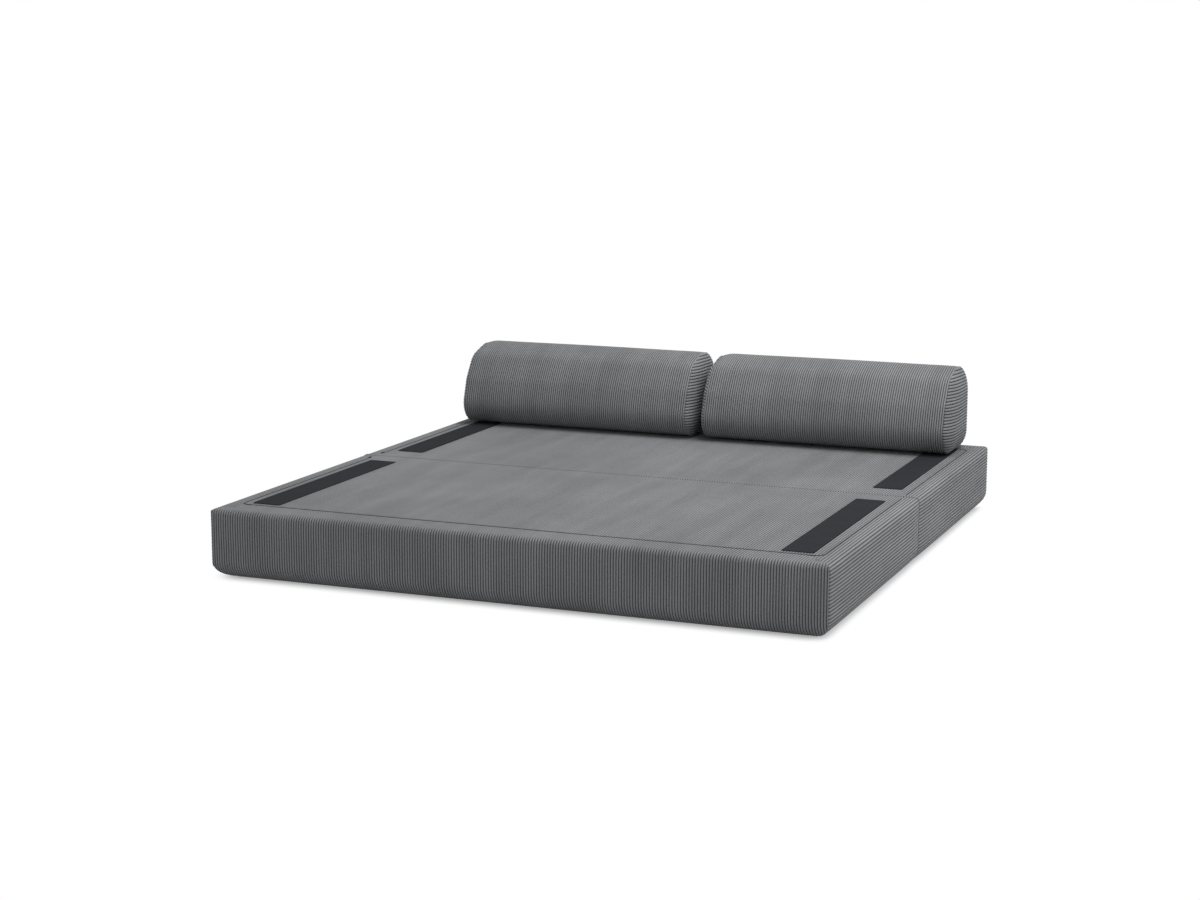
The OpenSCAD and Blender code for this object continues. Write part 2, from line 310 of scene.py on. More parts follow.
# The slabs' covers: wide-wale corduroy in a mid grey, sewn from a panel on top, a band round each
# side and a panel underneath. The pile stands in round ribs with narrow grooves between them.
RIBS_ACROSS = 232
PITCH_X = 2 * HALF_W / RIBS_ACROSS
PITCH_SIDE = 0.01005
TOP_R = 0.018
FOLD_R = 0.004
UNDER_R = 0.058
FOLD_UNDER_R = 0.008
CORNER_R = 0.01
RIB_DEPTH = 0.0024
PANEL_RIB_DEPTH = 0.0030
UNEVENNESS = 0.16
HEM = 0.005
CORNER_CUT = 1 - math.sqrt(0.5)


def corduroy_finish():
    """Grey pile with painted shade on the ribs' flanks, darkest in the grooves, brushed lighter and
    darker in broad patches, with the lie of the fibres as a fine bump along the ribs."""
    material, start, place = new_finish("corduroy")
    rib = start.node("ShaderNodeAttribute", out="Fac", attribute_name="rib")
    cloth = start.node("ShaderNodeUVMap", uv_map="cloth")
    nap = noise(start, place, 3.2, 4.0)
    lengthways = start.node("ShaderNodeMapping", {"Vector": cloth, "Scale": (16.0, 1.6, 1.0)})
    streaks = noise(start, lengthways, 1.0, 3.0)
    lay = start.node("ShaderNodeMapping", {"Vector": cloth, "Scale": (460.0, 170.0, 1.0)})
    fibres = noise(start, lay, 1.0, 5.0, 0.8)
    brushed_up = nap * 1.3 + streaks * 1.3 - 0.8
    pile = mottled(start, shade(169, 171, 174), shade(139, 141, 144), brushed_up)
    speckled = mottled(start, (1.45, 1.45, 1.45), (0.55, 0.55, 0.55), fibres * 2.6 - 0.8)
    brushed = start.node(
        "ShaderNodeMix",
        {"Factor": 1.0, 6: pile, 7: speckled},
        out=2,
        data_type="RGBA",
        blend_type="MULTIPLY",
    )
    # Painted shade: the pile's colour is darkened towards charcoal down each rib's flanks and into its
    # groove, by the rib's height.
    painted_groove_shade = start.node(
        "ShaderNodeMix",
        {"Factor": 1.0 - rib * rib, 6: brushed, 7: (*shade(44, 45, 47), 1.0)},
        out=2,
        data_type="RGBA",
    )
    sockets = {
        "Base Color": painted_groove_shade,
        "Roughness": 0.92,
        "Normal": raised_by(start, fibres, 1.0, 0.0012),
        "Sheen Weight": 0.25,
        "Sheen Roughness": 0.4,
    }
    close_finish(start, sockets)
    return material


corduroy = corduroy_finish()


def new_tree(name, inputs):
    """A geometry tree with named inputs: the tree and its inputs as wires."""
    tree = bpy.data.node_groups.new(name, "GeometryNodeTree")
    tree.interface.new_socket("Geometry", in_out="INPUT", socket_type="NodeSocketGeometry")
    for label, kind in inputs.items():
        tree.interface.new_socket(label, in_out="INPUT", socket_type="NodeSocket" + kind)
    tree.interface.new_socket("Geometry", in_out="OUTPUT", socket_type="NodeSocketGeometry")
    given = tree.nodes.new("NodeGroupInput")
    return tree, {socket.name: Wire(tree, socket) for socket in given.outputs if socket.name}


def close_tree(shape, material):
    """Ends a tree: instances made real, and the material on all of it."""
    real = shape.node("GeometryNodeRealizeInstances", {"Geometry": shape})
    dressed = shape.node("GeometryNodeSetMaterial", {"Geometry": real, "Material": material})
    shape.node("NodeGroupOutput", {"Geometry": dressed})


def named(start, attribute, kind="FLOAT"):
    return start.node(
        "GeometryNodeInputNamedAttribute", {"Name": attribute}, out="Attribute", data_type=kind
    )


def smooth(start, geometry):
    return start.node("GeometryNodeSetShadeSmooth", {"Geometry": geometry}, out="Geometry")


def rib_tree(material):
    """Raises ribs on a smooth sheet, and draws it in where the form that it lies on is drawn in."""
    inputs = {"Form": "Object", "Draw in": "Float", "Rib depth": "Float", "Unevenness": "Float"}
    tree, given = new_tree("corduroy_ribs", inputs)
    start = given["Geometry"]
    place = start.node("GeometryNodeInputPosition")
    from_crest = start.maths("ABSOLUTE", start.maths("FRACT", named(start, "ribs_across")) * 2 - 1)
    rib = start.maths("SQRT", start.maths("MAXIMUM", 1 - from_crest * from_crest, 0.0))
    uneven = noise(start, place, 45.0)
    form = start.node("GeometryNodeObjectInfo", {"Object": given["Form"]}, out="Geometry")
    puff = start.node(
        "GeometryNodeSampleNearestSurface",
        {"Mesh": form, "Value": named(start, "puff"), "Sample Position": place},
        out="Value",
        data_type="FLOAT",
    )
    height = rib * (1 + given["Unevenness"] * (uneven - 0.5)) - 1
    raised = given["Draw in"] * (puff - 1) + given["Rib depth"] * height
    offset = start.node(
        "ShaderNodeVectorMath",
        {0: named(start, "outward", "FLOAT_VECTOR"), "Scale": raised * named(start, "free")},
        operation="SCALE",
    )
    moved = start.node("GeometryNodeSetPosition", {"Geometry": start, "Offset": offset}, out="Geometry")
    # The rib's height is kept for the painted shade in the corduroy's grooves.
    kept = start.node(
        "GeometryNodeStoreNamedAttribute",
        {"Geometry": moved, "Name": "rib", "Value": rib},
        out="Geometry",
        data_type="FLOAT",
        domain="POINT",
    )
    for spent in ("ribs_across", "outward", "free"):
        without = {"Geometry": kept, "Name": spent}
        kept = start.node("GeometryNodeRemoveAttribute", without, out="Geometry")
    close_tree(smooth(start, kept), material)
    return tree


corduroy_ribs = rib_tree(corduroy)


def made_by(tree, guide, name, **inputs):
    """Runs a tree on a guide mesh, and gives the result as a piece with a plain mesh."""
    piece = add_object(name, guide)
    modifier = piece.modifiers.new(tree.name, "NODES")
    modifier.node_group = tree
    for item in tree.interface.items_tree:
        if item.in_out == "INPUT" and item.name in inputs and inputs[item.name] is not None:
            modifier[item.identifier] = inputs[item.name]
    depsgraph = bpy.context.evaluated_depsgraph_get()
    plain = bpy.data.meshes.new_from_object(
        piece.evaluated_get(depsgraph), preserve_all_data_layers=True, depsgraph=depsgraph
    )
    plain.name = name
    piece.modifiers.remove(modifier)
    piece.data = plain
    bpy.data.meshes.remove(guide)
    return piece


def grid_faces(rows, columns):
    """The faces between the points of a grid."""
    corner = (np.arange(rows - 1)[:, None] * columns + np.arange(columns - 1)).ravel()
    return np.stack([corner, corner + 1, corner + columns + 1, corner + columns], 1)


def sheet(name, points, outward, ribs, cloth, hem):
    """A smooth sheet of cloth on a grid of points, with its four edges turned in as hems."""
    edged = [(1, 1), (1, 1), (0, 0)]
    points = np.pad(points, edged, mode="edge")
    outward = np.pad(outward, edged, mode="edge")
    cloth = np.pad(cloth, edged, mode="edge")
    ribs = np.pad(ribs, edged[:2], mode="edge")
    rows, columns = ribs.shape
    free = np.zeros((rows, columns))
    free[1:-1, 1:-1] = 1
    points = points - outward * (hem * (1 - free))[..., None]
    faces = grid_faces(rows, columns)
    flat = points.reshape(-1, 3)
    middle = faces[len(faces) // 2 + columns // 2]
    turn = np.cross(flat[middle[1]] - flat[middle[0]], flat[middle[3]] - flat[middle[0]])
    if turn @ outward.reshape(-1, 3)[middle[0]] < 0:
        faces = faces[:, ::-1]
    mesh = bpy.data.meshes.new(name)
    mesh.from_pydata(flat.tolist(), [], faces.tolist())
    for label, kind, field, values in (
        ("ribs_across", "FLOAT", "value", ribs),
        ("free", "FLOAT", "value", free),
        ("outward", "FLOAT_VECTOR", "vector", outward),
    ):
        layer = mesh.attributes.new(label, kind, "POINT")
        layer.data.foreach_set(field, values.astype(np.float32).ravel())
    uv = mesh.uv_layers.new(name="cloth")
    uv.data.foreach_set("uv", cloth.reshape(-1, 2)[faces.ravel()].astype(np.float32).ravel())
    whole = bmesh.new()
    whole.from_mesh(mesh)
    bmesh.ops.remove_doubles(whole, verts=whole.verts, dist=2e-6)
    whole.to_mesh(mesh)
    whole.free()
    return mesh


def rib_lines(start, pitch, count):
    """Where the columns of a sheet lie across its ribs: six to a rib, closest at the grooves."""
    shares = np.array([0, 0.1, 0.28, 0.5, 0.72, 0.9])
    return start + pitch * np.append((np.arange(count)[:, None] + shares).ravel(), count)


NEAR_EDGE = np.array([0.0012, 0.0035, 0.007, 0.012, 0.02])


def spaced(length, coarse):
    """Places along a run from 0 to length, closer together at its two ends."""
    near = NEAR_EDGE[-1]
    middle = np.linspace(near, length - near, max(2, round((length - 2 * near) / coarse) + 1))
    return np.concatenate([[0.0], NEAR_EDGE[:-1], middle, length - NEAR_EDGE[-2::-1], [length]])


def bend(center, radius, first, last, count):
    """Points on an arc, between two angles in degrees."""
    angle = np.radians(np.linspace(first, last, count))
    return np.stack([center[0] + radius * np.cos(angle), center[1] + radius * np.sin(angle)], 1)


def joined(*runs):
    """Runs of points put end to end, without a point that comes twice."""
    line = np.concatenate(runs)
    keep = np.append(True, np.linalg.norm(np.diff(line, axis=0), axis=1) > 1e-6)
    return line[keep]


def straight(first, last, places):
    """Points on a straight run, at distances from its start."""
    first, last = np.array(first), np.array(last)
    way = (last - first) / np.linalg.norm(last - first)
    return first + np.outer(places, way)


def walked(line):
    """How far along a line each of its points lies."""
    return np.append(0, np.cumsum(np.linalg.norm(np.diff(line, axis=0), axis=1)))


def edge_line(top_inset, under_inset, top_r, under_r):
    """The run of a band, as inset and height: over the top edge, down the face and under."""
    top = top_inset - top_r
    face = HEIGHT - top_r - under_r
    margin = np.concatenate([[0], NEAR_EDGE[:-1], np.linspace(NEAR_EDGE[-1], top, 4)])
    return joined(
        straight((top_inset, HEIGHT), (top_r, HEIGHT), margin),
        bend((top_r, HEIGHT - top_r), top_r, 90, 180, 7),
        straight((0, HEIGHT - top_r), (0, under_r), np.linspace(0, face, 6)),
        bend((under_r, under_r), under_r, 180, 270, 10),
        straight((under_r, 0), (under_inset, 0), np.array([0, 0.5, 0.8, 1]) * (under_inset - under_r)),
    )


EDGE_BLEND = 0.0006


def slab_outward(points):
    """The way out of a front slab at points on it. It turns over smoothly at the edges."""
    x, y, z = points[..., 0], points[..., 1] + DEPTH / 2, points[..., 2] - HEIGHT / 2
    high, fold = z > 0, y > 0
    side_r = np.where(high, TOP_R, UNDER_R)
    end_r = np.where(fold, np.where(high, FOLD_R, FOLD_UNDER_R), side_r)
    plan_r = np.where(fold, FOLD_R, CORNER_R)
    zero = np.zeros_like(x)
    total = np.zeros_like(points)
    for (deep, one, two), order in (
        (rounded(x, z, HALF_W, HEIGHT / 2, side_r), lambda a, b: (a, zero, b)),
        (rounded(y, z, DEPTH / 2, HEIGHT / 2, end_r), lambda a, b: (zero, a, b)),
        (rounded(x, y, HALF_W, DEPTH / 2, plan_r), lambda a, b: (a, b, zero)),
    ):
        weight = np.exp(np.clip(deep, -0.02, 0) / EDGE_BLEND)[..., None]
        total = total + weight * np.stack(order(one, two), -1)
    return total / np.maximum(np.linalg.norm(total, axis=-1, keepdims=True), 1e-9)


def round_off(beyond, radius):
    """How far a surface falls back in a round corner, from how far a point lies short of its end."""
    short = np.clip(radius - beyond, 0, radius)
    return radius - np.sqrt(radius**2 - short**2)


X_LINES = rib_lines(-HALF_W, PITCH_X, RIBS_ACROSS)
SLOT = 0.0024
SLIDER_SLOT = 0.0031
BUTTED = 0.0005
ZIP_STOP = 0.03
LIP_DEPTH = 0.0017
LIP_REACH = 0.0015
SEAM_DEPTH = 0.0014
SEAM_GAP = 0.0004
FOLD_WRAP = 0.007
FOLD_DRAW = 0.0012
SWELL = 0.0035
SWELL_REACH = 0.03


def eased(share):
    """A share from 0 to 1 that starts and ends gently."""
    share = np.clip(share, 0, 1)
    return share * share * (3 - 2 * share)


def slot_half(y, on_left):
    """Half the gap between the cloth edges: nearly shut over the zip, as wide as the slider on its
    run at the left, and a butted seam next to the fold."""
    run = on_left * eased((DEPTH - ZIP_END_INSET - np.abs(y)) / 0.02)
    wide = SLOT + (SLIDER_SLOT - SLOT) * run
    return BUTTED + (wide - BUTTED) * eased((np.abs(y) - ZIP_STOP + 0.008) / 0.012)


def zip_lip(points):
    """How far the cloth rolls down at the zip line."""
    x, y = points[..., 0], points[..., 1]
    from_edge = np.abs(np.abs(zip_distance(x, y)) - slot_half(y, x < 0))
    return LIP_DEPTH * np.exp(-from_edge / LIP_REACH)


def corner_seam(points):
    """How far the cloth is drawn in at the corner seams, down the corners and along the mitres
    underneath."""
    side = HALF_W - np.abs(points[..., 0])
    end = DEPTH + points[..., 1]
    off = np.abs(side - end) * math.sqrt(0.5)
    below = np.clip((HEIGHT - TOP_R * 0.3 - points[..., 2]) / TOP_R, 0, 1)
    return SEAM_DEPTH * below * np.exp(-off / 0.0035)


def face_swell(points, from_corner):
    """How far the cloth stands out on a slab's upright face, between its seams."""
    low = np.clip(points[..., 2] / UNDER_R, 0, 1)
    high = np.clip((HEIGHT - points[..., 2]) / (2 * TOP_R), 0, 1)
    full = np.sin(low * math.pi / 2) * np.sin(high * math.pi / 2)
    return SWELL * full * (1 - np.exp(-from_corner / SWELL_REACH))


def under_seam(points):
    """How far the cloth is drawn in at the seams round the underside panel."""
    side = np.abs(HALF_W - np.abs(points[..., 0]) - UNDER_INSET)
    end = np.abs(DEPTH + points[..., 1] - UNDER_INSET)
    fold = np.abs(points[..., 1] + UNDER_FOLD_INSET)
    low = np.clip(1 - points[..., 2] / 0.02, 0, 1)
    return SEAM_DEPTH * low * np.exp(-np.minimum(np.minimum(side, end), fold) / 0.0025)


def slab_sheet(points, ribs, cloth, dip):
    """A sheet on the front slab's surface, drawn in by dip, and kept clear of the fold's plane."""
    outward = slab_outward(points)
    points = points - outward * dip[..., None]
    points[..., 1] = np.minimum(points[..., 1], -SEAM_GAP)
    return points, outward, ribs, cloth


def ribbed(name, sheet_data, form, draw_in, rib_depth, hem=HEM):
    """Makes a sheet into ribbed cloth."""
    sizes = {"Draw in": draw_in if form else 0.0, "Rib depth": rib_depth, "Unevenness": UNEVENNESS}
    piece = made_by(corduroy_ribs, sheet(name, *sheet_data, hem), name, Form=form, **sizes)
    return piece


def sew(name, sheet_data, node, body, form, draw_in, rib_depth=RIB_DEPTH):
    """Makes a sheet into a panel of a cover. It stands for a CAD piece and moves with a body."""
    piece = ribbed(name, sheet_data, form, draw_in, rib_depth)
    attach(piece, body)
    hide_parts(node)


def top_panel():
    """The inner panel, from the zip line to the fold, where it turns down."""
    side, end = HALF_W - ZIP_SIDE_INSET, DEPTH - ZIP_END_INSET
    across = np.unique(np.clip(X_LINES, -side, side))
    upright = np.array([0, 0.5, 1]) * (FOLD_WRAP - FOLD_R)
    wrap = joined(
        straight((0, HEIGHT - FOLD_WRAP), (0, HEIGHT - FOLD_R), upright),
        bend((FOLD_R, HEIGHT - FOLD_R), FOLD_R, 180, 90, 6),
    )
    flat = spaced(end - FOLD_R, 0.05)[1:]
    inset = np.append(wrap[:, 0], FOLD_R + flat)
    z = np.append(wrap[:, 1], np.full(len(flat), HEIGHT))
    x, inset = np.meshgrid(across, inset)
    z = np.repeat(z[:, None], len(across), 1)
    turn_r = ZIP_TURN_R - SLOT
    reach = end - SLOT - round_off(side - slot_half(inset, x < 0) - np.abs(x), turn_r)
    y = -inset * np.where(inset > FOLD_R, reach / end, 1.0)
    x = np.clip(x, slot_half(y, 1) - side, side - slot_half(y, 0))
    points = np.stack([x, y, z], -1)
    cloth = np.stack([x, -inset - (HEIGHT - z)], -1)
    return slab_sheet(points, (x + HALF_W) / PITCH_X, cloth, zip_lip(points))


def band_dip(points, from_corner):
    """How far a band is drawn in at its seams, less how far its face swells."""
    on_top = points[..., 2] > HEIGHT - 0.001
    seams = zip_lip(points) * on_top + corner_seam(points) + under_seam(points)
    return seams - face_swell(points, from_corner)


def outer_band():
    """The band along the end, from the zip line over the edge and under to the underside panel."""
    line = edge_line(ZIP_END_INSET - SLOT, UNDER_INSET, TOP_R, UNDER_R)
    x, inset = np.meshgrid(X_LINES, line[:, 0])
    z = np.repeat(line[:, 1:], len(X_LINES), 1)
    half = HALF_W - np.maximum(inset, CORNER_R * CORNER_CUT)
    x = np.clip(x, -half, half)
    y = -np.minimum(DEPTH - inset, DEPTH - round_off(HALF_W - np.abs(x), CORNER_R))
    points = np.stack([x, y, z], -1)
    along = np.repeat(walked(line)[:, None], len(X_LINES), 1)
    dip = band_dip(points, HALF_W - np.abs(x))
    return slab_sheet(points, (x + HALF_W) / PITCH_X, np.stack([x, along], -1), dip)


def side_band(way):
    """The band along one side, way 1 at the right and -1 at the left. Its ribs run lengthways."""
    line = edge_line(ZIP_END_INSET, UNDER_INSET, TOP_R, UNDER_R)
    fine = walked(line)
    total = fine[-1]
    count = round(total / PITCH_SIDE)
    columns = rib_lines(0, total / count, count)
    half = int(np.argmin(line[:, 0]))
    zip_end = DEPTH - ZIP_END_INSET
    by_fold = [0.0007, 0.0014, 0.0024, 0.004, 0.006, 0.009, 0.014]
    along = np.linspace(0.022, zip_end - 0.055, 26)
    by_zip = [-0.04, -0.026, -0.02, -0.014, -0.008, -0.004, -0.001, 0.001, SLOT - 1e-4, SLOT + 1e-4]
    past_zip = np.linspace(zip_end + 0.012, DEPTH - 0.04, 5)
    by_corner = [CORNER_R * CORNER_CUT, 0.004, 0.006, 0.008, 0.010, 0.014, 0.02, 0.03]
    places = [by_fold, along, zip_end + np.array(by_zip), past_zip, DEPTH - np.array(by_corner)]
    y = np.sort(np.concatenate(places))
    side_x = HALF_W - ZIP_SIDE_INSET
    turn_r = ZIP_TURN_R + SLOT
    zip_x = side_x + slot_half(y, way < 0) - round_off(zip_end + SLOT - y, turn_r)
    top_limit = np.where(y < zip_end + SLOT, HALF_W - zip_x, np.minimum(ZIP_END_INSET, DEPTH - y))
    under_limit = np.minimum(np.minimum(UNDER_INSET, DEPTH - y), y * UNDER_INSET / UNDER_FOLD_INSET)
    first = np.interp(top_limit, line[half::-1, 0], fine[half::-1])
    last = np.interp(under_limit, line[half:, 0], fine[half:])
    s = np.clip(np.repeat(columns[None], len(y), 0), first[:, None], last[:, None])
    inset = np.interp(s, fine, line[:, 0])
    z = np.interp(s, fine, line[:, 1])
    y = np.repeat(y[:, None], len(columns), 1)
    x = HALF_W - np.maximum(inset, np.maximum(round_off(DEPTH - y, CORNER_R), round_off(y, FOLD_R)))
    z = np.minimum(z, HEIGHT - round_off(y, FOLD_R))
    z = np.maximum(z, round_off(y, FOLD_UNDER_R))
    points = np.stack([way * x, -y, z], -1)
    dip = band_dip(points, np.minimum(y, DEPTH - y)) + FOLD_DRAW * np.exp(-y / 0.002)
    return slab_sheet(points, s / (total / count), np.stack([s, -y], -1), dip)


def inner_band():
    """The band at the fold, from under the top panel's turned edge to the underside panel."""
    face_top = HEIGHT - FOLD_WRAP
    line = joined(
        straight((0, face_top), (0, FOLD_UNDER_R), spaced(face_top - FOLD_UNDER_R, 0.03)),
        bend((FOLD_UNDER_R, FOLD_UNDER_R), FOLD_UNDER_R, 180, 270, 6),
        straight((FOLD_UNDER_R, 0), (UNDER_FOLD_INSET, 0), np.array([0, 0.008, 0.013, 0.016])),
    )
    x, inset = np.meshgrid(X_LINES, line[:, 0])
    z = np.repeat(line[:, 1:], len(X_LINES), 1)
    half = HALF_W - np.maximum(inset * UNDER_INSET / UNDER_FOLD_INSET, 0.0018)
    x = np.clip(x, -half, half)
    side = HALF_W - np.abs(x)
    z = np.clip(z, round_off(side, UNDER_R), HEIGHT - round_off(side, TOP_R))
    y = -np.maximum(inset, round_off(side, FOLD_R))
    points = np.stack([x, y, z], -1)
    along = np.repeat(walked(line)[:, None], len(X_LINES), 1)
    cloth = np.stack([x, along], -1)
    return slab_sheet(points, (x + HALF_W) / PITCH_X, cloth, under_seam(points))


def underside_panel():
    """The flat panel underneath, between the bands' edges."""
    side = HALF_W - UNDER_INSET - SEAM_GAP
    across = np.unique(np.clip(X_LINES, -side, side))
    length = DEPTH - UNDER_INSET - UNDER_FOLD_INSET - 2 * SEAM_GAP
    x, along = np.meshgrid(across, spaced(length, 0.06))
    points = np.stack([x, -UNDER_FOLD_INSET - SEAM_GAP - along, np.zeros_like(x)], -1)
    cloth = np.stack([x, along], -1)
    return slab_sheet(points, (x + HALF_W) / PITCH_X, cloth, under_seam(points))


for slab, body, way in (("front", "front_base", 1), ("rear", "rear_base", -1)):
    for part, (points, outward, ribs, cloth), draw_in, rib_depth in (
        ("top_panel", top_panel(), 0.0010, PANEL_RIB_DEPTH),
        ("outer_band", outer_band(), 0.0014, RIB_DEPTH),
        ("left_band", side_band(-1), 0.0017, RIB_DEPTH),
        ("right_band", side_band(1), 0.0017, RIB_DEPTH),
        ("inner_band", inner_band(), 0.002, RIB_DEPTH),
        ("underside_panel", underside_panel(), 0.002, RIB_DEPTH),
    ):
        node = f"{slab}_{part}"
        turned = points * (1, way, 1), outward * (1, way, 1), ribs, cloth
        sew(f"{node}_cloth", turned, node, body, slab_form, draw_in, rib_depth)

# The zips. A woven tape carries a spiral coil round three sides of each top panel, and a small
# die-cast slider with a thumb tab runs on it. All of it is charcoal, and lies below the pile.
COIL = {"Pitch": 0.0016, "Length": 0.0011, "Width": 0.0029, "Height": 0.0009}
COIL_RISE = 0.0013
CAD_COIL_HIGH = 0.0015


def tape_finish():
    material, start, place = new_finish("zip_tape")
    weave = cells(start, place, 1400.0)
    color = mottled(start, shade(92, 94, 98), shade(70, 72, 76), weave)
    bump = raised_by(start, weave, 0.5, 0.0003)
    close_finish(start, {"Base Color": color, "Roughness": 0.85, "Normal": bump})
    return material


def slider_finish():
    material, start, place = new_finish("zip_slider")
    wear = noise(start, place, 260.0, 3.0)
    color = mottled(start, shade(70, 71, 74), shade(40, 41, 44), wear)
    close_finish(start, {"Base Color": color, "Metallic": 0.7, "Roughness": wear * 0.3 + 0.25})
    return material


zip_tape = tape_finish()
zip_slider = slider_finish()
for part, finish in (("zip_tape", zip_tape), ("zip_slider", zip_slider)):
    for owner in ("front", "rear", "left_bolster", "right_bolster"):
        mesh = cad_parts[f"{owner}_{part}"].data
        mesh.materials.clear()
        mesh.materials.append(finish)


def guide_line(name, points, closed=False):
    """A line of points and edges that a row follows."""
    count = len(points)
    mesh = bpy.data.meshes.new(name)
    edges = [(i, (i + 1) % count) for i in range(count if closed else count - 1)]
    mesh.from_pydata([tuple(p) for p in points], edges, [])
    return mesh


def row_tree(name, material, shape):
    """Sets copies of a small shape along a line. Their length follows it, and their tops face up."""
    sizes = {"Pitch": "Float", "Length": "Float", "Width": "Float", "Height": "Float"}
    tree, given = new_tree(name, {**sizes, "Up": "Vector"})
    start = given["Geometry"]
    curve = start.node("GeometryNodeMeshToCurve", {"Mesh": start})
    even = start.node(
        "GeometryNodeResampleCurve", {"Curve": curve, "Length": given["Pitch"]}, mode="LENGTH"
    )
    turn = start.node(
        "FunctionNodeAxesToRotation",
        {"Primary Axis": given["Up"], "Secondary Axis": start.node("GeometryNodeInputTangent")},
        primary_axis="Z",
        secondary_axis="X",
    )
    size = start.node(
        "ShaderNodeCombineXYZ", {"X": given["Length"], "Y": given["Width"], "Z": given["Height"]}
    )
    copies = start.node(
        "GeometryNodeInstanceOnPoints",
        {"Points": even, "Instance": shape(start), "Rotation": turn, "Scale": size},
    )
    close_tree(copies, material)
    return tree


def bead(start):
    """A ball of unit size, for a tooth of the coil."""
    ball = {"Segments": 6, "Rings": 4, "Radius": 0.5}
    return smooth(start, start.node("GeometryNodeMeshUVSphere", ball, out="Mesh"))


coil_teeth = row_tree("zip_coil", zip_tape, bead)


def panel_zip_line(z):
    """The front slab's zip, along three sides of the panel, at a height."""
    side, end, turn_r = HALF_W - ZIP_SIDE_INSET, DEPTH - ZIP_END_INSET, ZIP_TURN_R
    left = bend((turn_r - side, turn_r - end), turn_r, 180, 270, 9)
    right = bend((side - turn_r, turn_r - end), turn_r, 270, 360, 9)
    flat = np.concatenate([[(-side, -ZIP_STOP)], left, right, [(side, -ZIP_STOP)]])
    return np.column_stack([flat, np.full(len(flat), z)])


panel_zip = panel_zip_line(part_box("front_zip_tape")[1].z - CAD_COIL_HIGH + COIL_RISE)
for slab, body, way in (("front", "front_base", 1), ("rear", "rear_base", -1)):
    teeth = made_by(
        coil_teeth,
        guide_line("coil", panel_zip * (1, way, 1)),
        f"{slab}_zip_coil",
        Up=(0, 0, 1),
        **COIL,
    )
    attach(teeth, body)

# The grip strips: four bands of woven loop tape in charcoal, 92 mm wide, sewn down flat on the
# panels. They lie face to face when the front slab is folded over, and keep it from sliding.
STRIP_TURN_R = 0.005
STITCH_INSET = 0.0035
STITCH = {"Pitch": 0.0042, "Length": 0.0029, "Width": 0.0005, "Height": 0.0003}


def strip_finish():
    material, start, place = new_finish("grip_tape")
    loops = cells(start, place, 620.0)
    wear = noise(start, place, 14.0, 4.0)
    color = mottled(start, shade(46, 48, 53), shade(33, 35, 39), wear * 0.7 + loops * 0.5)
    bump = raised_by(start, loops, 0.7, 0.0005)
    sockets = {"Base Color": color, "Roughness": 0.9, "Normal": bump, "Specular IOR Level": 0.25}
    close_finish(start, sockets)
    return material


def thread_finish():
    material, start, place = new_finish("strip_thread")
    twist = noise(start, place, 1800.0)
    color = mottled(start, shade(58, 60, 64), shade(40, 42, 46), twist)
    close_finish(start, {"Base Color": color, "Roughness": 0.7})
    return material


def stitch(start):
    """A short thread of unit size, lying along a row."""
    thread = {"Vertices": 6, "Side Segments": 1, "Radius": 0.5, "Depth": 1.0}
    upright = start.node("GeometryNodeMeshCylinder", thread, out="Mesh")
    laid = {"Geometry": upright, "Rotation": (0.0, math.pi / 2, 0.0)}
    return smooth(start, start.node("GeometryNodeTransform", laid))


def round_plan(low, high, inset):
    """The plan of a round-cornered strip, as points round its outline, at an inset from it."""
    x0, x1 = low.x + STRIP_TURN_R, high.x - STRIP_TURN_R
    y0, y1 = low.y + STRIP_TURN_R, high.y - STRIP_TURN_R
    r = STRIP_TURN_R - inset
    corners = ((x1, y1, 0), (x0, y1, 90), (x0, y0, 180), (x1, y0, 270))
    return np.concatenate([bend((x, y), r, turn, turn + 90, 6) for x, y, turn in corners])


def ring(low, high, inset, z):
    plan = round_plan(low, high, inset)
    return np.column_stack([plan, np.full(len(plan), z)])


def strip_body(name, low, high):
    """A flat strip with its upper edge rounded over."""
    edge = [(0.0, low.z), (0.0, high.z - 0.0005), (0.00015, high.z - 0.00015), (0.0006, high.z)]
    rings = [ring(low, high, inset, z) for inset, z in edge]
    around = len(rings[0])
    faces = [
        (k * around + i, k * around + j, (k + 1) * around + j, (k + 1) * around + i)
        for k in range(len(rings) - 1)
        for i, j in zip(range(around), [*range(1, around), 0])
    ]
    top = tuple(range((len(rings) - 1) * around, len(rings) * around))
    underneath = tuple(reversed(range(around)))
    mesh = bpy.data.meshes.new(name)
    mesh.from_pydata(np.concatenate(rings).tolist(), [], [*faces, top, underneath])
    mesh.materials.append(grip_tape)
    return mesh


grip_tape = strip_finish()
strip_stitches = row_tree("strip_stitches", thread_finish(), stitch)
for slab, body in (("front", "front_base"), ("rear", "rear_base")):
    for side in ("left", "right"):
        node = f"{slab}_{side}_grip_strip"
        low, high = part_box(node)
        strip = add_object(f"{node}_tape", strip_body(node, low, high))
        sewing = made_by(
            strip_stitches,
            guide_line("seam", ring(low, high, STITCH_INSET, high.z), closed=True),
            f"{node}_stitches",
            Up=(0, 0, 1),
            **STITCH,
        )
        for piece in (strip, sewing):
            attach(piece, body)
        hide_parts(node)

# The fold: a doubled strip of the same corduroy, sewn to both top panels along their inner edges.
# It closes the gap on top, and is the hinge that the front slab turns on.
FOLD_HALF = np.array(
    [(0.0050, -0.0018), (0.0042, -0.0002), (0.0028, 0.0003), (0.0014, 0.0003), (0.0005, -0.0002)]
)
FOLD_DIP = (0.0, -0.0006)
FOLD_END_INSET = 0.006
FOLD_RIB_DEPTH = 0.0009
FOLD_HEM = 0.002


